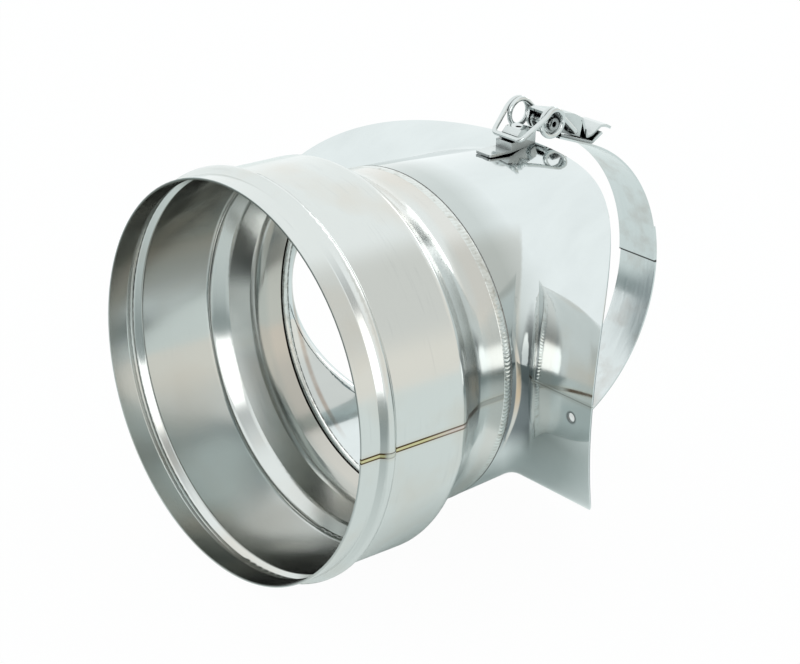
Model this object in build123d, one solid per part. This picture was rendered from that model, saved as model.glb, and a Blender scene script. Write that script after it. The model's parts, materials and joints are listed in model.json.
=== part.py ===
from build123d import *
import math
import os

# Strap-on saddle branch for a round flue pipe, with a wide socket and a spring latch.
# X runs along the flue pipe, -Y points out of the socket's mouth and Z is up.
# The origin is where the flue pipe's axis meets the branch's axis.

# Sheet and pipes
SHEET = 0.8                     # collar, saddle and band
FLUE_PIPE_R = 65.0              # flue pipe of 130 mm
PIPE_PLAY = 0.2                 # saddle over the flue pipe
SOCKET_R = 75.3                 # socket for a 150 mm pipe, with its play

# Collar, from the saddle to its mouth
BRANCH_L = 8.0                  # saddle's inside to the middle of the rippled weld
NECK_L = 30.3                   # weld to where the socket has its full width
SOCKET_L = 35.7                 # from there to the middle of the bead
LIP_L = 11.8                    # bead to the mouth
BEAD_H = 2.3
BEAD_TOP = 1.8                  # flat of the bead's crown
BEAD_FOOT = 6.8
SHOULDER_L = 16.5
KNEE_DROP = 4.5                 # knee of the shoulder, inwards from the socket
KNEE_L = 5.6
BEAD_FOOT_ROUND = 1.4
BEAD_TOP_ROUND = 1.9
SHOULDER_ROUND = 4.5
KNEE_ROUND = 7.0
NECK_ROUND = 13.0
WELD_W = 4.0
WELD_CROWN = 0.3
SEAM_W = 1.7                    # butt weld of the collar
SEAM_PROUD = 0.08
SEAM_DROP = 0.8                 # degrees below the level of the axis

# Saddle: a round blank wrapped over the pipe
BLANK_R = 100.5
EDGE_POINTS = 72                # of the blank's wrapped edge
CUT_REACH = 6.0                 # how far the cut along that edge runs past both faces
BRANCH_NARROWING = 3.0          # the drawn branch narrows towards the flue pipe's axis
CROTCH_ROUND = 7.0
FIX_HOLE_R = 1.7
FIX_HOLE_INSET = 9.4            # from the blank's edge
FIX_HOLE_Z = -2.6
SADDLE_SEAM_Z = 4.6
SADDLE_SEAM_W = 1.4
SADDLE_SEAM_X = 70.5

# Band
BAND_W = 20.0
LAP_ANGLE = 87.5                # upper band's end, in degrees behind the top
LAP_L = 16.0
BAND_ON_SADDLE = 14.5           # degrees past the lowest point
BAND_TANGENT = 19.0             # degrees behind the top, where the band runs straight
BAND_END_Y = 3.2

# Latch base
BASE_T = 1.0
BASE_W = 14.6
BASE_FRONT_Y = 1.5
BASE_WIDE_Y = 6.8
BASE_REAR_Y = 25.0
LIP_RISE = 3.3
LIP_RUN = 5.6
LIP_ROUND = 1.6
EAR_T = 1.0
EAR_OUT = 4.0
EAR_R = 3.0
EAR_FOOT_Y = 9.5

# Pivots; the heights of the latch's parts are above the top of the saddle
PIVOT_Y = 3.3
PIVOT_H = 6.8
FOOT_Y = 14.4                   # the bail's feet in the lever
FOOT_H = 2.0
RIVET_R = 1.8
RIVET_BORE_R = 1.15
RIVET_HEAD_R = 2.5
RIVET_HEAD_T = 0.7
PIN_FIT = 0.05                  # running clearance of the pins
HEAD_GAP = 0.3

# Lever: outline of its web, and the back of its flanges
LEVER_T = 1.0
LEVER_OUT = 5.5
LEVER_NOSE_R = 3.6
LEVER_OVER_BASE = 0.4
LEVER_WEB = [(0.6, 11.1), (3.6, 11.1), (11.0, 9.4), (15.3, 8.4), (19.9, 6.0),
             (22.9, -2.1), (26.4, -1.5), (31.0, 1.3), (34.2, 0.9), (37.7, -1.0)]
LEVER_WEB_ROUNDS = [2.5, 4.0, 4.0, 1.6, 1.1, 2.0, 1.6, 3.0]
FLANGE_BACK = [(19.3, 6.0), (20.3, 4.3), (20.1, 2.6)]
FLANGE_REAR_Y = 19.3
FLANGE_FRONT_Y = 5.2
TONGUE_Y = 22.5
TONGUE_HALF = 5.9
TONGUE_ROUND = 2.2

# Bail
WIRE_R = 1.0
BAR_Y = -16.0                   # the bail's bar in the catch
BAR_H = 3.7
BAR_HALF = 7.6
COIL_Y = -0.9
COIL_H = 8.9
COIL_R = 5.4
COIL_TURNS = 1
COIL_PITCH = 2.07
COIL_X = 8.1                    # innermost turn
COIL_LEAD = 2.0                 # straight before and after the coil
COIL_LEAD_ROUND = 7.0
FOOT_END_X = 4.35
BAR_BEND = 2.4
FOOT_BEND = 1.5

# Catch
CATCH_T = 1.0
CATCH_HALF = 4.3
CATCH_TANGENT = 6.9             # degrees before the top, where its base touches the saddle
CATCH_FRONT_Y = -28.6
CATCH_BACK_Y = -4.5
CATCH_STEP_Y = -17.4
CATCH_HOOK_H = 4.4
CATCH_CROWN_Y = (-12.4, -6.4)
CATCH_TOP_H = 6.6
CATCH_SHOULDER_H = 5.0
CATCH_CORNER = 1.3              # round of the tongue's corners
CATCH_HOLE_R = 1.2
CATCH_HOLE_Y = -9.8
BAR_GAP = 0.5                   # between the bar and the catch

SADDLE_R = FLUE_PIPE_R + PIPE_PLAY
SADDLE_OUT = SADDLE_R + SHEET
NECK_R = SADDLE_R               # the branch is as wide as the flue pipe
BAND_OUT = SADDLE_OUT + SHEET
SEAM_ANGLE = math.degrees(SEAM_W / SOCKET_R)
WELD_Y = -SADDLE_R - BRANCH_L
SHOULDER_Y = WELD_Y - NECK_L
BEAD_Y = SHOULDER_Y - SOCKET_L
MOUTH_Y = BEAD_Y - LIP_L
PIVOT_Z, FOOT_Z = SADDLE_OUT + PIVOT_H, SADDLE_OUT + FOOT_H
BAR_Z, COIL_Z = SADDLE_OUT + BAR_H, SADDLE_OUT + COIL_H
CATCH_HOOK_Z, CATCH_TOP_Z = SADDLE_OUT + CATCH_HOOK_H, SADDLE_OUT + CATCH_TOP_H
CATCH_SHOULDER_Z = SADDLE_OUT + CATCH_SHOULDER_H


def polar(radius, behind_top):
    """Point (y, z) on a circle about the flue pipe's axis, by its angle behind the top."""
    a = math.radians(behind_top)
    return (radius * math.sin(a), radius * math.cos(a))


def turned(points, rounds, proud, arc, start):
    """Sheet turned about Y from an inner outline of (radius, y), or a weld proud of both faces."""
    line = FilletPolyline(*[(radius - proud, y) for radius, y in points], radius=rounds)
    section = make_face(offset(line, amount=SHEET + 2 * proud, side=Side.RIGHT, closed=True))
    return Rot(0, start, 0) * revolve(section, Axis.Y, arc)


def plate(outline, x_from, x_to):
    """Side outline of (y, z), made solid between two places along X."""
    face = outline if isinstance(outline, Sketch) else make_face(Polyline(*outline, close=True))
    return extrude(Plane.YZ.offset(x_from) * face, x_to - x_from)


def strip(points, rounds, thick, half):
    """Bent strip: a line of (y, z) given its thickness and its width."""
    skin = offset(FilletPolyline(*points, radius=rounds), amount=thick, side=Side.LEFT, closed=True)
    return plate(Sketch() + make_face(skin), -half, half)


def mirrored(shape):
    return shape + mirror(shape, about=Plane.YZ)


def cross_pin(y, z, radius, half):
    return Pos(0, y, z) * Cylinder(radius, 2 * half, rotation=(0, 90, 0))


# Collar
collar_line = [
    (SOCKET_R, MOUTH_Y),
    (SOCKET_R, BEAD_Y - BEAD_FOOT / 2),
    (SOCKET_R + BEAD_H, BEAD_Y - BEAD_TOP / 2),
    (SOCKET_R + BEAD_H, BEAD_Y + BEAD_TOP / 2),
    (SOCKET_R, BEAD_Y + BEAD_FOOT / 2),
    (SOCKET_R, SHOULDER_Y),
    (SOCKET_R - KNEE_DROP, SHOULDER_Y + KNEE_L),
    (NECK_R, SHOULDER_Y + SHOULDER_L),
    (NECK_R, WELD_Y - WELD_W / 2),
]
collar_rounds = [BEAD_FOOT_ROUND, BEAD_TOP_ROUND, BEAD_TOP_ROUND, BEAD_FOOT_ROUND,
                 SHOULDER_ROUND, KNEE_ROUND, NECK_ROUND]
collar_start = SEAM_DROP + SEAM_ANGLE / 2
socket_collar = turned(collar_line, collar_rounds, 0, 360 - SEAM_ANGLE, collar_start)
collar_seam_weld = turned(collar_line, collar_rounds, SEAM_PROUD, SEAM_ANGLE,
                          collar_start - SEAM_ANGLE)

# Rippled weld between neck and saddle
weld_front, weld_back = WELD_Y - WELD_W / 2, WELD_Y + WELD_W / 2
neck_out = NECK_R + SHEET
weld_section = make_face([
    Line((NECK_R, weld_back), (NECK_R, weld_front)),
    Line((NECK_R, weld_front), (neck_out, weld_front)),
    ThreePointArc((neck_out, weld_front), (neck_out + WELD_CROWN, WELD_Y), (neck_out, weld_back)),
    Line((neck_out, weld_back), (NECK_R, weld_back)),
])
neck_weld_ring = revolve(weld_section, Axis.Y, 360)


# Saddle
def tee(grow, crotch):
    """Barrel and branch as one body, grown from the inner skin."""
    barrel = Cylinder(SADDLE_R + grow, 2 * BLANK_R + SADDLE_R, rotation=(0, 90, 0))
    foot = NECK_R + grow - BRANCH_NARROWING
    profile = Polyline((0, 0), (foot, 0), (NECK_R + grow, weld_back), (0, weld_back), (0, 0))
    body = barrel + revolve(make_face(profile), Axis.Y, 360)
    meeting = [e for e in body.edges() if e.geom_type not in (GeomType.CIRCLE, GeomType.LINE)]
    return fillet(meeting, crotch)


def blank_edge(radius):
    """Edge of the round blank where it is wrapped on a cylinder of the given radius."""
    points = []
    for step in range(EDGE_POINTS):
        a = 2 * math.pi * step / EDGE_POINTS
        wrap = BLANK_R * math.sin(a) / SADDLE_OUT
        points.append((BLANK_R * math.cos(a), -radius * math.cos(wrap), radius * math.sin(wrap)))
    return Spline(*points, periodic=True).edge()


shell = tee(SHEET, CROTCH_ROUND) - tee(0, CROTCH_ROUND + SHEET)
rim = Face.make_surface_from_curves(blank_edge(SADDLE_R - CUT_REACH),
                                    blank_edge(SADDLE_OUT + CUT_REACH))
saddle_whole = split(shell, bisect_by=rim, keep=Keep.ALL).solids().sort_by(Axis.Y)[0]
for side in (-1, 1):
    saddle_whole -= (Pos(side * (BLANK_R - FIX_HOLE_INSET), -SADDLE_R, FIX_HOLE_Z)
                     * Cylinder(FIX_HOLE_R, SADDLE_R, rotation=(90, 0, 0)))
seam_slab = Pos(SADDLE_SEAM_X, 0, SADDLE_SEAM_Z) * Box(
    BLANK_R, 2 * SADDLE_R, SADDLE_SEAM_W, align=(Align.MIN, Align.MAX, Align.CENTER))
saddle = saddle_whole - seam_slab
saddle_seam_weld = saddle_whole & seam_slab

# Band
tangent_y, tangent_z = polar(SADDLE_R, BAND_TANGENT)
slope = math.tan(math.radians(BAND_TANGENT))
lean = math.cos(math.radians(BAND_TANGENT))


def over_band(y, height):
    """Point above the inner face of the band's straight end."""
    return (y, tangent_z + (tangent_y - y) * slope + height / lean)


def band(radius, start, end):
    middle = (start + end) / 2
    out = radius + SHEET
    return [ThreePointArc(polar(radius, start), polar(radius, middle), polar(radius, end)),
            Line(polar(radius, end), polar(out, end)),
            ThreePointArc(polar(out, end), polar(out, middle), polar(out, start))]


end_in = over_band(BAND_END_Y, 0)
end_out = (end_in[0] + SHEET * math.sin(math.radians(BAND_TANGENT)), end_in[1] + SHEET * lean)
upper_outline = band(SADDLE_R, BAND_TANGENT, LAP_ANGLE) + [
    Line(polar(SADDLE_OUT, BAND_TANGENT), end_out), Line(end_out, end_in),
    Line(end_in, polar(SADDLE_R, BAND_TANGENT))]
strap_upper = plate(Sketch() + make_face(upper_outline), -BAND_W / 2, BAND_W / 2)

lap_start = LAP_ANGLE - math.degrees(LAP_L / SADDLE_OUT)
lower_end = 180 + BAND_ON_SADDLE
lower_outline = band(SADDLE_OUT, lap_start, lower_end) + [
    Line(polar(BAND_OUT, lap_start), polar(SADDLE_OUT, lap_start))]
strap_lower = plate(Sketch() + make_face(lower_outline), -BAND_W / 2, BAND_W / 2)

# Latch base
base_skin = [over_band(BASE_FRONT_Y, SHEET), over_band(BASE_REAR_Y, SHEET)]
base_skin.append((base_skin[1][0] + LIP_RUN, base_skin[1][1] + LIP_RISE))
base_plate = strip(base_skin, [LIP_ROUND], BASE_T, BASE_W / 2)
for side in (-1, 1):
    base_plate -= Pos(side * EAR_OUT, BASE_WIDE_Y, PIVOT_Z) * Box(
        BASE_W, PIVOT_Z, PIVOT_Z, align=(Align.MIN if side > 0 else Align.MAX, Align.MAX, Align.CENTER))
ear_outline = make_face(Polyline(
    (PIVOT_Y - EAR_R, PIVOT_Z), over_band(BASE_FRONT_Y, SHEET + BASE_T / 2),
    over_band(EAR_FOOT_Y, SHEET + BASE_T / 2), (PIVOT_Y + EAR_R, PIVOT_Z), close=True))
ear_face = Sketch() + ear_outline + Pos(PIVOT_Y, PIVOT_Z) * Circle(EAR_R)
ears = mirrored(plate(ear_face, EAR_OUT - EAR_T, EAR_OUT))
latch_base = base_plate + ears - cross_pin(PIVOT_Y, PIVOT_Z, RIVET_R, 2 * EAR_OUT)

# Pivot rivet
head_x = LEVER_OUT + HEAD_GAP
rivet_half = head_x + RIVET_HEAD_T
head = Pos(head_x + RIVET_HEAD_T / 2, PIVOT_Y, PIVOT_Z) * Cylinder(
    RIVET_HEAD_R, RIVET_HEAD_T, rotation=(0, 90, 0))
pivot_rivet = (cross_pin(PIVOT_Y, PIVOT_Z, RIVET_R, rivet_half) + mirrored(head)
               - cross_pin(PIVOT_Y, PIVOT_Z, RIVET_BORE_R, 2 * rivet_half))

# Lever
web_top = [(y, SADDLE_OUT + height) for y, height in LEVER_WEB]
flange_back = [(y, SADDLE_OUT + height) for y, height in FLANGE_BACK]
web_line = [(y, z - LEVER_T / 2) for y, z in web_top]
web = strip(web_line, LEVER_WEB_ROUNDS, LEVER_T, TONGUE_HALF)
tip = web.faces().sort_by(Axis.Y)[-1]
web = fillet([e for e in tip.edges() if e.length < 2 * LEVER_T], TONGUE_ROUND)
for side in (-1, 1):
    web -= Pos(side * LEVER_OUT, TONGUE_Y, PIVOT_Z) * Box(
        TONGUE_HALF, PIVOT_Z, PIVOT_Z,
        align=(Align.MIN if side > 0 else Align.MAX, Align.MAX, Align.CENTER))
flange_gap = SHEET + BASE_T + LEVER_OVER_BASE
flange_rear = over_band(FLANGE_REAR_Y, flange_gap)
flange_face = Sketch() + make_face(Polyline(
    *web_top[:4], *flange_back, flange_rear, over_band(FLANGE_FRONT_Y, flange_gap),
    (PIVOT_Y, PIVOT_Z), (PIVOT_Y - LEVER_NOSE_R, PIVOT_Z),
    close=True)) + Pos(PIVOT_Y, PIVOT_Z) * Circle(LEVER_NOSE_R)
flanges = mirrored(plate(flange_face, LEVER_OUT - LEVER_T, LEVER_OUT))
latch_lever = (web + flanges
               - cross_pin(PIVOT_Y, PIVOT_Z, RIVET_R + PIN_FIT, 2 * LEVER_OUT)
               - cross_pin(FOOT_Y, FOOT_Z, WIRE_R + PIN_FIT, 2 * LEVER_OUT))


# Bail
def touch(y, z, turn):
    """Angle about the coil's middle where a line from (y, z) touches the coil."""
    dy, dz = y - COIL_Y, z - COIL_Z
    return math.atan2(dz, dy) + turn * math.acos(COIL_R / math.hypot(dy, dz))


into, out_of = touch(BAR_Y, BAR_Z, -1), touch(FOOT_Y, FOOT_Z, 1)
part_turn = (math.degrees(into) - math.degrees(out_of)) % 360 / 360
coil_height = COIL_PITCH * (COIL_TURNS + part_turn)
outer_x = COIL_X + coil_height
coil = Plane(origin=(outer_x, COIL_Y, COIL_Z), x_dir=(0, math.cos(into), math.sin(into)),
             z_dir=(-1, 0, 0)) * Helix(COIL_PITCH, coil_height, COIL_R)
lead_in, lead_out = coil.edge() % 0, coil.edge() % 1
coil_start, coil_end = coil.edge() @ 0, coil.edge() @ 1
front_leg = FilletPolyline(
    (0, BAR_Y, BAR_Z), (BAR_HALF, BAR_Y, BAR_Z), coil_start - lead_in * COIL_LEAD, coil_start,
    radius=[BAR_BEND, COIL_LEAD_ROUND])
foot_leg = FilletPolyline(
    coil_end, coil_end + lead_out * COIL_LEAD, (COIL_X, FOOT_Y, FOOT_Z),
    (FOOT_END_X, FOOT_Y, FOOT_Z), radius=[COIL_LEAD_ROUND, FOOT_BEND])
wire_path = Wire(front_leg.edges() + coil.edges() + foot_leg.edges())
wire_end = Plane(origin=wire_path @ 0, z_dir=wire_path % 0)
bail_wire = mirrored(sweep(wire_end * Circle(WIRE_R), path=wire_path))

# Catch
catch_y, catch_z = polar(SADDLE_OUT, -CATCH_TANGENT)
catch_slope = math.tan(math.radians(CATCH_TANGENT))


def on_catch(y, height):
    return (y, catch_z + (y - catch_y) * catch_slope + height)


hook_y = BAR_Y + WIRE_R + BAR_GAP
step_z = BAR_Z - WIRE_R - BAR_GAP
half_t = CATCH_T / 2
crown_front, crown_back = CATCH_CROWN_Y
box_outline = [
    on_catch(CATCH_STEP_Y, 0), (CATCH_STEP_Y, step_z), (hook_y, step_z), (hook_y, CATCH_HOOK_Z),
    (crown_front, CATCH_TOP_Z), (crown_back, CATCH_TOP_Z), (CATCH_BACK_Y, CATCH_SHOULDER_Z),
    on_catch(CATCH_BACK_Y, 0)]
cavity = [
    on_catch(CATCH_STEP_Y + CATCH_T, CATCH_T), (CATCH_STEP_Y + CATCH_T, step_z - CATCH_T),
    (hook_y + CATCH_T, step_z - CATCH_T), (hook_y + CATCH_T, CATCH_HOOK_Z - half_t),
    (crown_front + half_t, CATCH_TOP_Z - CATCH_T), (crown_back - half_t, CATCH_TOP_Z - CATCH_T),
    (CATCH_BACK_Y - CATCH_T, CATCH_SHOULDER_Z - half_t), on_catch(CATCH_BACK_Y - CATCH_T, CATCH_T)]
tongue_low = on_catch(CATCH_STEP_Y, 0)[1]
tongue = [(CATCH_FRONT_Y, tongue_low), (CATCH_FRONT_Y, tongue_low + CATCH_T),
          (CATCH_STEP_Y + half_t, tongue_low + CATCH_T), (CATCH_STEP_Y + half_t, tongue_low)]
tongue_plate = plate(tongue, -CATCH_HALF, CATCH_HALF)
front_corners = tongue_plate.edges().filter_by(Axis.Z).group_by(Axis.Y)[0]
catch_plate = (plate(box_outline, -CATCH_HALF, CATCH_HALF) + fillet(front_corners, CATCH_CORNER)
               - plate(cavity, -CATCH_HALF + CATCH_T, CATCH_HALF - CATCH_T)
               - Pos(0, CATCH_HOLE_Y, CATCH_TOP_Z) * Cylinder(CATCH_HOLE_R, 3 * CATCH_T))

pieces = {
    "socket_collar": socket_collar,
    "collar_seam_weld": collar_seam_weld,
    "neck_weld_ring": neck_weld_ring,
    "saddle": saddle,
    "saddle_seam_weld": saddle_seam_weld,
    "strap_upper": strap_upper,
    "strap_lower": strap_lower,
    "latch_base": latch_base,
    "pivot_rivet": pivot_rivet,
    "latch_lever": latch_lever,
    "bail_wire": bail_wire,
    "catch_plate": catch_plate,
}
os.makedirs("parts", exist_ok=True)
for name, piece in pieces.items():
    export_step(piece, f"parts/{name}.step")
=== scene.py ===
import json
import math
import bmesh
import bpy
from mathutils import Matrix, Vector


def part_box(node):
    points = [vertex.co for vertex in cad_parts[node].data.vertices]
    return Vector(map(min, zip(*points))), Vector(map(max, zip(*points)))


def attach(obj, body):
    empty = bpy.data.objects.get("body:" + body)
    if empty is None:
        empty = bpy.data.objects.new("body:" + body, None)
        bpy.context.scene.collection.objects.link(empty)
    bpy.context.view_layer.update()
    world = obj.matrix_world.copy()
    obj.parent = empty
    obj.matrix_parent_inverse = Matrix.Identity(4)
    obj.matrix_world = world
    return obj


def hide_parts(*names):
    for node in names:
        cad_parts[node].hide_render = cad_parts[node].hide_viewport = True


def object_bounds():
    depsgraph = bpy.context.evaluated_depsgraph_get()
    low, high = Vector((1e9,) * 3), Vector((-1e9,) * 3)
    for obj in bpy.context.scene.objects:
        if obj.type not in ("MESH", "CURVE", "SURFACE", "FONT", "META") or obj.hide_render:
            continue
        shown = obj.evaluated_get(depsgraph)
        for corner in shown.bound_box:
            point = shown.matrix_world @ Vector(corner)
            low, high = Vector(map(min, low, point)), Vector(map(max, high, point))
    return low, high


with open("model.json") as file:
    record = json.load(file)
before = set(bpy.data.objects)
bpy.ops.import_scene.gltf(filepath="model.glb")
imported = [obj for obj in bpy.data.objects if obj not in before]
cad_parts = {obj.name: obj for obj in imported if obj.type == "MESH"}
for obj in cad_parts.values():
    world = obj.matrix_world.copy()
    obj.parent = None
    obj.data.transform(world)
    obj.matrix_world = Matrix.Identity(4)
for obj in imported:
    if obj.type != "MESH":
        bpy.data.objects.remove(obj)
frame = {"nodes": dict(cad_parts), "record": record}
cad_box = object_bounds()
MM = 0.001

# Sizes and places, in millimetres, from the frame's mounts and solids where they give them. The socket
# opens towards -Y, and the flue pipe runs along X
mounts = {mount["name"]: mount for mount in frame["record"]["mounts"]}
SOCKET_BORE = mounts["pipe_socket"]["dims"]["r_mm"]
SADDLE_BORE = mounts["flue_pipe"]["dims"]["r_mm"]
HOLE_AT = [c / MM for c in mounts["fixing_hole_right"]["pos_m"]]
HOLE_R = mounts["fixing_hole_right"]["dims"]["r_mm"]
SOCKET_BACK = mounts["pipe_socket"]["pos_m"][1] / MM + mounts["pipe_socket"]["dims"]["length_mm"] / 2
WELD_FRONT, WELD_BACK = [corner[1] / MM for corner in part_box("neck_weld_ring")]
SADDLE_SEAM_Z = sum(corner[2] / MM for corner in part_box("saddle_seam_weld")) / 2
LAP_END_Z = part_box("strap_upper")[0][2] / MM
NECK_BORE = 65.2
SHEET = 0.8
NECK_OUT = NECK_BORE + SHEET
SEAM_Z = -1.05
SEAM_W = 1.7
BEAD_Y = SOCKET_BACK - 35.2
SHOULDER_Y = SOCKET_BACK + 8.5

# Heat tints and dark lines of the saddle: stations behind the weld, and distances outside the neck
STRAW_Y = WELD_BACK + 2.2
HEAT_Y = WELD_BACK + 3.7
CREASE_REACH = NECK_OUT + 2.2
RIDGE_REACH = NECK_OUT + 6.7

# The millimetres over which each pattern changes, along X, Y and Z where they differ. Real roll and draw
# marks are some hundredths of a millimetre wide, so these are drawn as coarse as they need to show
ROLL_MARKS = (16.67, 1.111, 16.67)
MILL_CLOUDS = 38.46
DRAW_WAVES = 45.45
BUFF_FOG = (11.11, 47.62, 11.11)
DRAW_MARKS = (1.111, 16.67, 1.111)
STRIP_SCUFFS = (1.25, 25.0, 25.0)
STRIP_STAINS = 14.29
WELD_SPOTS = 2.381
STEEL_HAZE = 6.25
WIRE_HAZE = 3.333

# Directions that count in a distance from the branch's axis, and from the pipe's
ACROSS_BRANCH = (1, 0, 1)
ACROSS_PIPE = (0, 1, 1)


def srgb(code):
    """Hex colour to linear light."""
    parts = [int(code[i:i + 2], 16) / 255 for i in (1, 3, 5)]
    return tuple(c / 12.92 if c <= 0.04045 else ((c + 0.055) / 1.055) ** 2.4 for c in parts) + (1,)


def add(tree, kind, links=None, **settings):
    """One node, its settings, and its inputs by name or number: a value or another output."""
    made = tree.nodes.new(kind)
    for name, value in settings.items():
        setattr(made, name, value)
    for name, value in (links or {}).items():
        if isinstance(value, bpy.types.NodeSocket):
            tree.links.new(value, made.inputs[name])
        else:
            made.inputs[name].default_value = value
    return made


def finish_material(name):
    """A metal's material, its tree and shader, and Object coordinates in millimetres."""
    mat = bpy.data.materials.new(name)
    mat.use_nodes = True
    tree = mat.node_tree
    tree.nodes.clear()
    shader = add(tree, "ShaderNodeBsdfPrincipled", {"Metallic": 1.0})
    add(tree, "ShaderNodeOutputMaterial", {0: shader.outputs[0]})
    metres = add(tree, "ShaderNodeTexCoord").outputs["Object"]
    place = add(tree, "ShaderNodeVectorMath", {0: metres, "Scale": 1 / MM}, operation="SCALE").outputs[0]
    return mat, tree, shader, place


def from_axis(tree, place, across):
    """Distance from an axis, and the vector that points away from it."""
    away = add(tree, "ShaderNodeVectorMath", {0: place, 1: across}, operation="MULTIPLY").outputs[0]
    distance = add(tree, "ShaderNodeVectorMath", {0: away}, operation="LENGTH").outputs["Value"]
    return distance, away


def masks(tree, rows):
    """Masks by name. Two ends are the values that give 0 and 1. Three are the middle of a band that gives
    1, half its width, and how far beyond it the mask fades to 0."""
    made = {}
    for name, value, *ends in rows:
        blend = "LINEAR"
        if len(ends) == 3:
            middle, half, soft = ends
            value = add(tree, "ShaderNodeMath", {0: value, 1: middle}, operation="SUBTRACT").outputs[0]
            value = add(tree, "ShaderNodeMath", {0: value}, operation="ABSOLUTE").outputs[0]
            ends = (half + soft, half)
            blend = "SMOOTHSTEP"
        made[name] = add(tree, "ShaderNodeMapRange",
                         {"Value": value, "From Min": ends[0], "From Max": ends[1]},
                         interpolation_type=blend).outputs[0]
    return made


def painted(tree, base, made, layers):
    """Colours laid over a base one after another, each where the product of its masks is 1."""
    colour = srgb(base)
    for code, share, *names in layers:
        amount = share
        for name in names:
            amount = add(tree, "ShaderNodeMath", {0: amount, 1: made[name]},
                         operation="MULTIPLY").outputs[0]
        colour = add(tree, "ShaderNodeMix", {0: amount, 6: colour, 7: srgb(code)},
                     data_type="RGBA").outputs[2]
    return colour


# Rolled stainless sheet with a 2B mill finish: smooth and a little milky, so that reflections are soft,
# with faint short marks round it from the swaging rolls and a straw tint beside its seam and its weld. The
# greys in the socket, on its lower lip and under the shoulder stand for shade that this white studio lacks
def rolled_sheet():
    mat, tree, shader, place = finish_material("rolled stainless sheet")
    x, y, z = add(tree, "ShaderNodeSeparateXYZ", {0: place}).outputs
    radius, away = from_axis(tree, place, ACROSS_BRANCH)
    normal = add(tree, "ShaderNodeNewGeometry").outputs["Normal"]
    facing = add(tree, "ShaderNodeVectorMath", {0: normal, 1: away},
                 operation="DOT_PRODUCT").outputs["Value"]
    marks_at = add(tree, "ShaderNodeMapping",
                   {0: place, "Scale": [1 / size for size in ROLL_MARKS]}).outputs[0]
    marks = add(tree, "ShaderNodeTexNoise", {"Vector": marks_at, "Scale": 1.0, "Detail": 3.0}).outputs[0]
    cloud = add(tree, "ShaderNodeTexNoise",
                {"Vector": place, "Scale": 1 / MILL_CLOUDS, "Detail": 3.0}).outputs[0]
    made = masks(tree, (
        ("warm", cloud, 0.5, 0.66),
        ("scratch", marks, 0.6, 0.7),
        ("right", x, 0, 20),
        ("seam_halo", z, SEAM_Z, 0.8, 2.0),
        ("seam_edge", z, SEAM_Z, SEAM_W / 2 + 0.12, 0.18),
        ("socket_seam", y, SOCKET_BACK + 5, SOCKET_BACK + 1),
        ("in_socket", radius, SOCKET_BORE + 0.5, SOCKET_BORE + 0.3),
        ("in_neck", radius, NECK_BORE + 0.5, NECK_BORE + 0.3),
        ("plain_wall", y, SOCKET_BACK - 0.5, SOCKET_BACK - 1.5),
        ("roof", z, 2, 28),
        ("ground", z, -66, -73),
        ("sill", z, -56, -66),
        ("by_weld", y, WELD_FRONT, 5, 4),
        ("shoulder", y, SHOULDER_Y, 6, 3),
        ("lower", z, -4, -14),
        ("outside", facing, 0, 10)))
    colour = painted(tree, "#D2D5D3", made, (
        ("#CFCBC3", 0.7, "warm"),
        ("#BABEBE", 0.16, "scratch"),
        ("#C8B99C", 0.22, "seam_halo", "right"),
        ("#BDC1BE", 0.6, "in_socket", "plain_wall"),
        ("#85847C", 0.9, "in_socket", "plain_wall", "roof"),
        ("#85847C", 0.5, "in_socket", "plain_wall", "ground"),
        ("#3C3E3E", 0.75, "in_socket", "plain_wall", "sill", "right"),
        ("#B4B4AE", 0.9, "in_neck"),
        ("#D2C8BE", 0.3, "by_weld"),
        ("#B2BCBC", 0.6, "shoulder", "lower", "outside"),
        ("#4E3D22", 0.21, "seam_edge", "right"),
        ("#4E3D22", 0.81, "seam_edge", "right", "socket_seam")))
    tree.links.new(colour, shader.inputs["Base Color"])
    rough = add(tree, "ShaderNodeMapRange",
                {"Value": cloud, "From Min": 0.3, "From Max": 0.7,
                 "To Min": 0.12, "To Max": 0.22}).outputs[0]
    tree.links.new(rough, shader.inputs["Roughness"])
    bump = add(tree, "ShaderNodeBump",
               {"Strength": 0.03, "Distance": 0.05 * MM, "Height": marks}).outputs[0]
    tree.links.new(bump, shader.inputs["Normal"])
    return mat


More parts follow.
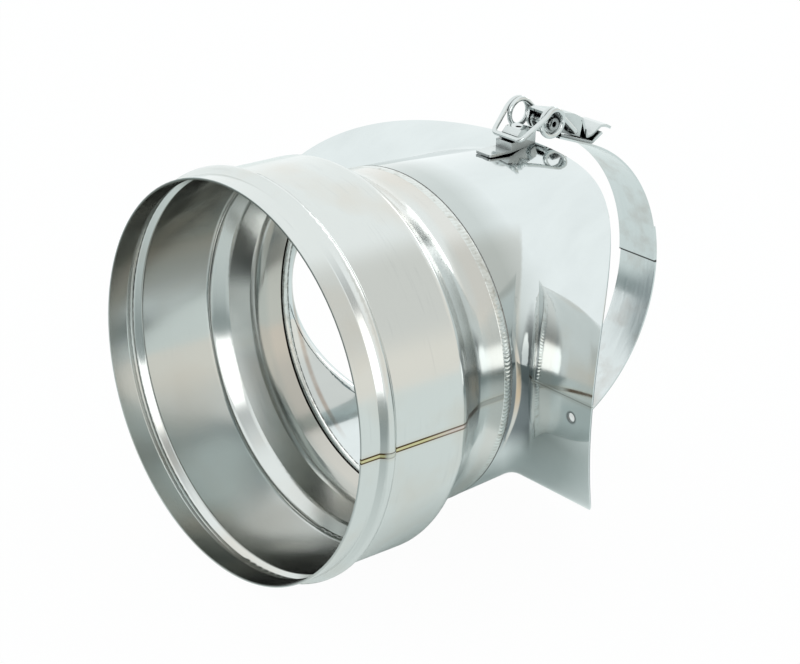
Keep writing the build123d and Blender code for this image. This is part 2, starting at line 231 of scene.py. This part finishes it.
# Mirror-polished stainless: drawn, then buffed, with the faint waves that drawing leaves. It is grey and
# drawn inside, straw and brown beside the weld, and dull round the fixing hole. The dark crease beside the
# crotch and the dark line on the flank stand for shade that this white studio lacks, and the grey round
# the neck's root, high on the saddle's front, is a painted reflection of the neck
def polished_sheet():
    mat, tree, shader, place = finish_material("mirror polished stainless")
    x, y, z = add(tree, "ShaderNodeSeparateXYZ", {0: place}).outputs
    from_pipe = from_axis(tree, place, ACROSS_PIPE)[0]
    from_branch = from_axis(tree, place, ACROSS_BRANCH)[0]
    from_hole = add(tree, "ShaderNodeVectorMath", {0: place, 1: HOLE_AT},
                    operation="DISTANCE").outputs["Value"]
    waves = add(tree, "ShaderNodeTexNoise",
                {"Vector": place, "Scale": 1 / DRAW_WAVES, "Detail": 1.0}).outputs[0]
    fog_at = add(tree, "ShaderNodeMapping",
                 {0: place, "Scale": [1 / size for size in BUFF_FOG]}).outputs[0]
    fog = add(tree, "ShaderNodeTexNoise", {"Vector": fog_at, "Scale": 1.0, "Detail": 4.0}).outputs[0]
    drawn_at = add(tree, "ShaderNodeMapping",
                   {0: place, "Scale": [1 / size for size in DRAW_MARKS]}).outputs[0]
    drawn = add(tree, "ShaderNodeTexNoise", {"Vector": drawn_at, "Scale": 1.0, "Detail": 3.0}).outputs[0]
    made = masks(tree, (
        ("right", x, 30, 40),
        ("left", x, -30, -45),
        ("flank", x, 71.5, 73.5),
        ("upper", z, 0, 20),
        ("forward", y, -50, -64),
        ("inside", from_pipe, SADDLE_BORE + 0.5, SADDLE_BORE + 0.3),
        ("burr", from_hole, HOLE_R + 1.1, HOLE_R + 0.3),
        ("root", from_branch, 0, NECK_OUT, 9),
        ("crease", from_branch, CREASE_REACH, 2.3, 1.3),
        ("crease_height", z, -1, 14, 16),
        ("straw", y, STRAW_Y, 0.4, 0.6),
        ("straw_height", z, 2, 2, 14),
        ("ridge", from_branch, RIDGE_REACH, 0.3, 0.6),
        ("ridge_height", z, 13, 7, 8),
        ("heat", y, HEAT_Y, 0.3, 1.4),
        ("seam", z, SADDLE_SEAM_Z, 0.5, 1.2)))
    made["fog"] = fog
    made["drawn"] = drawn
    colour = painted(tree, "#DADFDF", made, (
        ("#CED3D3", 1.0, "fog"),
        ("#5C6467", 0.88, "crease", "right", "crease_height"),
        ("#D8D5CF", 0.9, "straw", "right", "crease_height"),
        ("#CDB294", 0.8, "straw", "right", "straw_height"),
        ("#A8A69C", 0.3, "seam", "flank"),
        # Painted reflection of the neck round its root
        ("#A6ACA8", 0.55, "root", "upper", "forward"),
        ("#5B656B", 0.7, "ridge", "right", "ridge_height"),
        ("#8E6A48", 0.8, "heat", "left", "fog"),
        ("#A4AAAA", 1.0, "inside"),
        ("#8A9296", 0.8, "inside", "drawn"),
        ("#5C5F5E", 0.8, "burr")))
    tree.links.new(colour, shader.inputs["Base Color"])
    rough = add(tree, "ShaderNodeMapRange",
                {"Value": fog, "From Min": 0.3, "From Max": 0.7,
                 "To Min": 0.03, "To Max": 0.09}).outputs[0]
    tree.links.new(rough, shader.inputs["Roughness"])
    bump = add(tree, "ShaderNodeBump",
               {"Strength": 0.2, "Distance": 1.2 * MM, "Height": waves}).outputs[0]
    tree.links.new(bump, shader.inputs["Normal"])
    return mat


# Bright cold-rolled strip: lightly scuffed along its length, stained in places, and black where one band
# ends on the other, in a painted shadow of the lap over the spot welds' discolouring
def band_sheet():
    mat, tree, shader, place = finish_material("bright stainless strip")
    y, z = add(tree, "ShaderNodeSeparateXYZ", {0: place}).outputs[1:]
    scuff_at = add(tree, "ShaderNodeMapping",
                   {0: place, "Scale": [1 / size for size in STRIP_SCUFFS]}).outputs[0]
    scuff = add(tree, "ShaderNodeTexNoise", {"Vector": scuff_at, "Scale": 1.0, "Detail": 3.0}).outputs[0]
    stain = add(tree, "ShaderNodeTexNoise",
                {"Vector": place, "Scale": 1 / STRIP_STAINS, "Detail": 4.0}).outputs[0]
    made = masks(tree, (
        ("dull", stain, 0.5, 0.65),
        ("back", y, 50, 60),
        ("lap", z, LAP_END_Z, 0.42, 0.2)))
    made["scuff"] = scuff
    colour = painted(tree, "#CBD1D1", made, (
        ("#D6DBDB", 1.0, "scuff"),
        ("#B4AEA8", 0.5, "dull"),
        # Painted shadow of the lap, over the discoloured spot welds
        ("#30302E", 0.95, "lap", "back")))
    tree.links.new(colour, shader.inputs["Base Color"])
    rough = add(tree, "ShaderNodeMapRange",
                {"Value": scuff, "From Min": 0.3, "From Max": 0.7,
                 "To Min": 0.1, "To Max": 0.2}).outputs[0]
    tree.links.new(rough, shader.inputs["Roughness"])
    return mat


# Weld metal laid in ripples, pale where it cooled clean, browned in the hollows, and black in the undercut
# outside and along the root inside
def weld_metal():
    mat, tree, shader, place = finish_material("rippled weld bead")
    y = add(tree, "ShaderNodeSeparateXYZ", {0: place}).outputs[1]
    radius = from_axis(tree, place, ACROSS_BRANCH)[0]
    spots = add(tree, "ShaderNodeTexNoise",
                {"Vector": place, "Scale": 1 / WELD_SPOTS, "Detail": 3.0}).outputs[0]
    made = masks(tree, (
        ("burnt", spots, 0.5, 0.75),
        ("undercut", radius, NECK_OUT - 0.2, 0.12, 0.05),
        ("inner", radius, NECK_BORE + 0.5, NECK_BORE + 0.4),
        ("root_gap", y, WELD_FRONT + 0.4, 0.5, 0.1)))
    made["hollow"] = add(tree, "ShaderNodeAttribute", attribute_name="hollow").outputs["Fac"]
    colour = painted(tree, "#D6D9D6", made, (
        ("#8F8B80", 0.6, "hollow"),
        ("#A7A297", 0.6, "burnt"),
        ("#1A1815", 0.8, "undercut"),
        ("#120F0C", 1.0, "root_gap", "inner")))
    tree.links.new(colour, shader.inputs["Base Color"])
    shader.inputs["Roughness"].default_value = 0.2
    bump = add(tree, "ShaderNodeBump",
               {"Strength": 0.15, "Distance": 0.1 * MM, "Height": spots}).outputs[0]
    tree.links.new(bump, shader.inputs["Normal"])
    return mat


# Butt weld, ground flush: a gold line with brown edges, purple-grey towards the shoulder, dark on it, and
# worn pale on the neck and on the bead's crown
def straw_seam():
    mat, tree, shader, place = finish_material("straw tinted seam weld")
    y, z = add(tree, "ShaderNodeSeparateXYZ", {0: place}).outputs[1:]
    made = masks(tree, (
        ("core", z, SEAM_Z, 0.38, 0.14),
        ("bluing", y, SOCKET_BACK - 18, SOCKET_BACK - 6),
        ("dark", y, SOCKET_BACK, SOCKET_BACK + 4),
        ("faint", y, SOCKET_BACK + 13, SOCKET_BACK + 16),
        ("crown", y, BEAD_Y, 1.6, 1.2)))
    colour = painted(tree, "#5A4522", made, (
        ("#8E7A72", 1.0, "bluing"),
        ("#CFC99E", 0.95, "core"),
        ("#CFC3BC", 1.0, "core", "bluing"),
        ("#6A5A4C", 1.0, "dark"),
        ("#B9B8B2", 1.0, "faint"),
        ("#C9CBC6", 0.8, "crown")))
    tree.links.new(colour, shader.inputs["Base Color"])
    shader.inputs["Roughness"].default_value = 0.25
    return mat


# Butt weld of the saddle, polished over: a thin grey line
def polished_seam():
    mat, tree, shader, place = finish_material("polished over seam weld")
    z = add(tree, "ShaderNodeSeparateXYZ", {0: place}).outputs[2]
    made = masks(tree, (("core", z, SADDLE_SEAM_Z, 0.05, 0.25),))
    colour = painted(tree, "#C6CBCA", made, (("#8A8983", 0.7, "core"),))
    tree.links.new(colour, shader.inputs["Base Color"])
    shader.inputs["Roughness"].default_value = 0.18
    return mat


# Pressed latch steel, zinc-bright and tumbled smooth, so that its cut edges catch the light. Its sheltered
# corners, found by ambient occlusion, carry painted shade
def latch_steel():
    mat, tree, shader, place = finish_material("tumbled latch steel")
    haze = add(tree, "ShaderNodeTexNoise",
               {"Vector": place, "Scale": 1 / STEEL_HAZE, "Detail": 3.0}).outputs[0]
    occlusion_shade = add(tree, "ShaderNodeAmbientOcclusion", {"Distance": 6 * MM}, samples=6).outputs["AO"]
    # Painted shade in the corners that ambient occlusion finds
    made = masks(tree, (("corner", occlusion_shade, 0.85, 0.35),))
    made["haze"] = haze
    colour = painted(tree, "#C2C7C7", made, (("#D6DAD9", 1.0, "haze"), ("#303333", 0.92, "corner")))
    tree.links.new(colour, shader.inputs["Base Color"])
    rough = add(tree, "ShaderNodeMapRange",
                {"Value": haze, "From Min": 0.35, "From Max": 0.65,
                 "To Min": 0.06, "To Max": 0.12}).outputs[0]
    tree.links.new(rough, shader.inputs["Roughness"])
    edge = add(tree, "ShaderNodeBevel", {"Radius": 0.3 * MM}, samples=4).outputs[0]
    tree.links.new(edge, shader.inputs["Normal"])
    return mat


# Drawn spring wire: bright, with a thin haze, and painted shade between its turns
def spring_wire():
    mat, tree, shader, place = finish_material("drawn spring wire")
    occlusion_shade = add(tree, "ShaderNodeAmbientOcclusion", {"Distance": 3 * MM}, samples=6).outputs["AO"]
    # Painted shade between the turns, where ambient occlusion finds them sheltered
    made = masks(tree, (("corner", occlusion_shade, 0.7, 0.2),))
    made["haze"] = add(tree, "ShaderNodeTexNoise",
                       {"Vector": place, "Scale": 1 / WIRE_HAZE, "Detail": 2.0}).outputs[0]
    colour = painted(tree, "#C4C9C9", made, (("#D8DCDB", 1.0, "haze"), ("#4A4D4D", 0.85, "corner")))
    tree.links.new(colour, shader.inputs["Base Color"])
    shader.inputs["Roughness"].default_value = 0.07
    return mat


finishes = {
    "socket_collar": rolled_sheet(),
    "collar_seam_weld": straw_seam(),
    "saddle": polished_sheet(),
    "saddle_seam_weld": polished_seam(),
    "strap_upper": band_sheet(),
    "latch_base": latch_steel(),
    "bail_wire": spring_wire(),
    "neck_weld_ring": weld_metal(),
}
finishes["strap_lower"] = finishes["strap_upper"]
for name in ("pivot_rivet", "latch_lever", "catch_plate"):
    finishes[name] = finishes["latch_base"]
for name, mat in finishes.items():
    for slot in frame["nodes"][name].material_slots:
        slot.material = mat


# Rippled bead between the neck and the saddle: nearly flush, ridged with C-shaped ripples on the neck's
# side, with a dark undercut line at the saddle outside and at the neck inside. The ripples are deep at the
# bottom and shallow at the top. How deep in a hollow a point lies is kept as an attribute, which the weld
# metal reads
RIPPLES = 270
RIPPLE_H = 0.16
RIPPLE_BOW = 2.2
STEPS_A_RIPPLE = 6
DEPTH_AT_MIDDLE = 1.2
DEPTH_FALL = 1.4
LEAST_DEPTH = 0.35
CROWN_H = 0.12
CROWN_SHARE = 0.86
CROWN_STEPS = 12
UNDERCUT = 0.35
ROOT_SAG = 0.05


def weld_outline():
    """The bead's section, outer face first: each corner's distance from the axis, and its station. Crown
    and root give a corner's share of the way across, and its height."""
    width = WELD_BACK - WELD_FRONT
    crown = [(CROWN_SHARE * k / CROWN_STEPS, CROWN_H * math.sin(math.pi * k / CROWN_STEPS))
             for k in range(CROWN_STEPS + 1)]
    crown += [(0.9, -UNDERCUT), (0.97, -UNDERCUT), (1.0, 0.0)]
    root = [(0.0, 0.0), (0.4, -ROOT_SAG), (0.84, 0.0), (0.89, UNDERCUT), (0.97, UNDERCUT), (1.0, 0.0)]
    outer = [(NECK_OUT + height, WELD_FRONT + share * width) for share, height in crown]
    return outer + [(NECK_BORE + height, WELD_BACK - share * width) for share, height in root]


def ripple(bm):
    """Lifts the bead's outer face into ripples."""
    hollow = bm.verts.layers.float.new("hollow")
    for v in bm.verts:
        away = math.hypot(v.co.x, v.co.z)
        if away <= (NECK_OUT + 0.01) * MM:
            continue
        turn = math.atan2(v.co.z, v.co.x) * RIPPLES / (2 * math.pi)
        across = (v.co.y / MM - WELD_FRONT) / (WELD_BACK - WELD_FRONT)
        arch = abs(math.cos(math.pi * (turn - RIPPLE_BOW * (across - CROWN_SHARE / 2) ** 2)))
        depth = min(1.0, max(LEAST_DEPTH, DEPTH_AT_MIDDLE - v.co.z / MM / NECK_BORE * DEPTH_FALL))
        v[hollow] = depth * max(0.0, 1 - 2 * arch)
        lift = depth * RIPPLE_H * MM * (arch - 0.5) * math.sin(math.pi * across / CROWN_SHARE)
        v.co.x += v.co.x / away * lift
        v.co.z += v.co.z / away * lift


bm = bmesh.new()
ring = [bm.verts.new(Vector((reach, station, 0)) * MM) for reach, station in weld_outline()]
edges = [bm.edges.new((ring[i - 1], ring[i])) for i in range(len(ring))]
bmesh.ops.spin(bm, geom=ring + edges, cent=(0, 0, 0), axis=(0, 1, 0), angle=2 * math.pi,
               steps=STEPS_A_RIPPLE * RIPPLES, use_merge=True)
bmesh.ops.remove_doubles(bm, verts=bm.verts, dist=0.001 * MM)
ripple(bm)
bmesh.ops.recalc_face_normals(bm, faces=bm.faces)
mesh = bpy.data.meshes.new("ripple_bead")
bm.to_mesh(mesh)
bm.free()
mesh.materials.append(finishes["neck_weld_ring"])
mesh.shade_smooth()
bead = bpy.data.objects.new("ripple_bead", mesh)
bpy.context.scene.collection.objects.link(bead)
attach(bead, "adapter")
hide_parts("neck_weld_ring")

# Floor: white paper. In metal its glow is turned down under the object, which paints a soft edge round its
# real shadow. Beyond that it is bright and a little cool, and in front it is a painted reflection of a dim
# room
FLOOR_R = 6000
FLOOR_GAP = 0.3
UNDER_AT = (0, -60)
UNDER_EDGE = (45, 90)
UNDER_GLOW, CLEAR_GLOW = 0.05, 0.82
# Along Y, where the floor's glow in metal starts to give way to a painted reflection of a dim room, and
# where that is full
ROOM_REFLECTION_Y = (-130, -320)
MIRRORED_PAPER = (0.93, 1, 0.99, 1)
MIRRORED_ROOM = (0.26, 0.31, 0.31, 1)
CAMERA_GLOW = 0.97
PURE_WHITE = (1, 1, 1, 1)

bm = bmesh.new()
bmesh.ops.create_circle(bm, cap_ends=True, segments=64, radius=FLOOR_R * MM)
bmesh.ops.translate(bm, verts=bm.verts, vec=(0, 0, cad_box[0][2] - FLOOR_GAP * MM))
mesh = bpy.data.meshes.new("studio_floor")
bm.to_mesh(mesh)
bm.free()
floor = bpy.data.objects.new("studio_floor", mesh)
bpy.context.scene.collection.objects.link(floor)
paper = bpy.data.materials.new("white paper sweep")
paper.use_nodes = True
tree = paper.node_tree
tree.nodes.clear()
rays = add(tree, "ShaderNodeLightPath").outputs
place = add(tree, "ShaderNodeTexCoord").outputs["Object"]
under = [c * MM for c in UNDER_AT] + [cad_box[0][2]]
beyond = add(tree, "ShaderNodeVectorMath", {0: place, 1: under}, operation="DISTANCE").outputs["Value"]
mirrored = add(tree, "ShaderNodeMapRange",
               {"Value": beyond, "From Min": UNDER_EDGE[0] * MM, "From Max": UNDER_EDGE[1] * MM,
                "To Min": UNDER_GLOW, "To Max": CLEAR_GLOW}).outputs[0]
# Painted reflection of a dim room on the floor's front, seen only in metal
depth = add(tree, "ShaderNodeSeparateXYZ", {0: place}).outputs[1]
dim = add(tree, "ShaderNodeMapRange",
          {"Value": depth, "From Min": ROOM_REFLECTION_Y[0] * MM, "From Max": ROOM_REFLECTION_Y[1] * MM}).outputs[0]
dim = add(tree, "ShaderNodeMath", {0: dim, 1: rays["Is Glossy Ray"]}, operation="MULTIPLY").outputs[0]
tone = add(tree, "ShaderNodeMix", {0: rays["Is Glossy Ray"], 6: PURE_WHITE, 7: MIRRORED_PAPER},
           data_type="RGBA").outputs[2]
tone = add(tree, "ShaderNodeMix", {0: dim, 6: tone, 7: MIRRORED_ROOM}, data_type="RGBA").outputs[2]
share = add(tree, "ShaderNodeMath", {0: rays["Is Camera Ray"], 1: CAMERA_GLOW},
            operation="MULTIPLY").outputs[0]
share = add(tree, "ShaderNodeMath", {0: rays["Is Glossy Ray"], 1: mirrored, 2: share},
            operation="MULTIPLY_ADD").outputs[0]
white = add(tree, "ShaderNodeBsdfDiffuse", {"Color": srgb("#E0E9E8")}).outputs[0]
glow = add(tree, "ShaderNodeEmission", {"Color": tone, "Strength": 1.0}).outputs[0]
both = add(tree, "ShaderNodeMixShader", {0: share, 1: white, 2: glow}).outputs[0]
add(tree, "ShaderNodeOutputMaterial", {0: both})
mesh.materials.append(paper)

# World: a white tent, with a warmer wall on its right, a greyer corner above that, the dim room in front,
# and a window behind the camera. Each wall is its azimuth and height in degrees, the cosines of the angle
# from there at which it starts and is full, and its light. The camera sees plain white
TENT_LIGHT = (1.15, 1.19, 1.19, 1)
WALLS = (
    (40, 0, 0.5, 0.95, (1.04, 1.01, 0.94, 1)),
    (50, 37, 0.88, 0.98, (0.88, 0.89, 0.86, 1)),
    (-70, 0, 0.6, 0.92, (0.4, 0.42, 0.42, 1)),
    (-49, 11, 0.925, 0.965, (2.3, 2.3, 2.27, 1)),
)

world = bpy.data.worlds.new("studio")
bpy.context.scene.world = world
world.use_nodes = True
tree = world.node_tree
tree.nodes.clear()
aim = add(tree, "ShaderNodeTexCoord").outputs["Generated"]
tent = TENT_LIGHT
for azimuth, rise, starts, full, light in WALLS:
    level = math.cos(math.radians(rise))
    wall = (level * math.cos(math.radians(azimuth)), level * math.sin(math.radians(azimuth)),
            math.sin(math.radians(rise)))
    facing = add(tree, "ShaderNodeVectorMath", {0: aim, 1: wall}, operation="DOT_PRODUCT").outputs["Value"]
    near = add(tree, "ShaderNodeMapRange", {"Value": facing, "From Min": starts, "From Max": full},
               interpolation_type="SMOOTHSTEP").outputs[0]
    tent = add(tree, "ShaderNodeMix", {0: near, 6: tent, 7: light}, data_type="RGBA").outputs[2]
sky = add(tree, "ShaderNodeBackground", {"Color": tent, "Strength": 1.0}).outputs[0]
plain = add(tree, "ShaderNodeBackground", {"Color": PURE_WHITE, "Strength": 1.0}).outputs[0]
seen = add(tree, "ShaderNodeLightPath").outputs["Is Camera Ray"]
mix = add(tree, "ShaderNodeMixShader", {0: seen, 1: sky, 2: plain}).outputs[0]
add(tree, "ShaderNodeOutputWorld", {0: mix})

# Soft light from behind, above the pipe's left end, aimed at the origin
BACK_LIGHT_AT = (-350, 1500, 550)
BACK_LIGHT_SIZE = (900, 300)
BACK_LIGHT_WATTS = 1.5

lamp = bpy.data.lights.new("back", "AREA")
lamp.shape = "RECTANGLE"
lamp.size, lamp.size_y = (side * MM for side in BACK_LIGHT_SIZE)
lamp.energy = BACK_LIGHT_WATTS
lamp_at = bpy.data.objects.new("back", lamp)
from_origin = Vector(BACK_LIGHT_AT) * MM
aimed = (-from_origin).to_track_quat("-Z", "Y").to_matrix().to_4x4()
lamp_at.matrix_world = Matrix.Translation(from_origin) @ aimed
bpy.context.scene.collection.objects.link(lamp_at)

# Camera: the photograph's viewpoint, in millimetres and degrees
CAMERA_AT = (552.26, -561.15, 308.27)
CAMERA_YAW, CAMERA_PITCH, CAMERA_ROLL = 48.223, 22.584, 2.086
LENS = 93.6
SENSOR = 36.0
CLIP = (10, 20000)

yaw, pitch, roll = (math.radians(a) for a in (CAMERA_YAW, CAMERA_PITCH, CAMERA_ROLL))
look = Vector((-math.sin(yaw) * math.cos(pitch), math.cos(yaw) * math.cos(pitch), -math.sin(pitch)))
level = Vector((math.cos(yaw), math.sin(yaw), 0))
upright = level.cross(look)
right = math.cos(roll) * level + math.sin(roll) * upright
up = -math.sin(roll) * level + math.cos(roll) * upright
camera = bpy.data.cameras.new("camera")
camera.sensor_fit = "HORIZONTAL"
camera.sensor_width = SENSOR
camera.lens = LENS
camera.clip_start, camera.clip_end = (c * MM for c in CLIP)
camera_at = bpy.data.objects.new("camera", camera)
turn = Matrix((right, up, -look)).transposed().to_4x4()
camera_at.matrix_world = Matrix.Translation(Vector(CAMERA_AT) * MM) @ turn
bpy.context.scene.collection.objects.link(camera_at)
bpy.context.scene.camera = camera_at
bpy.context.scene.view_settings.view_transform = "Standard"
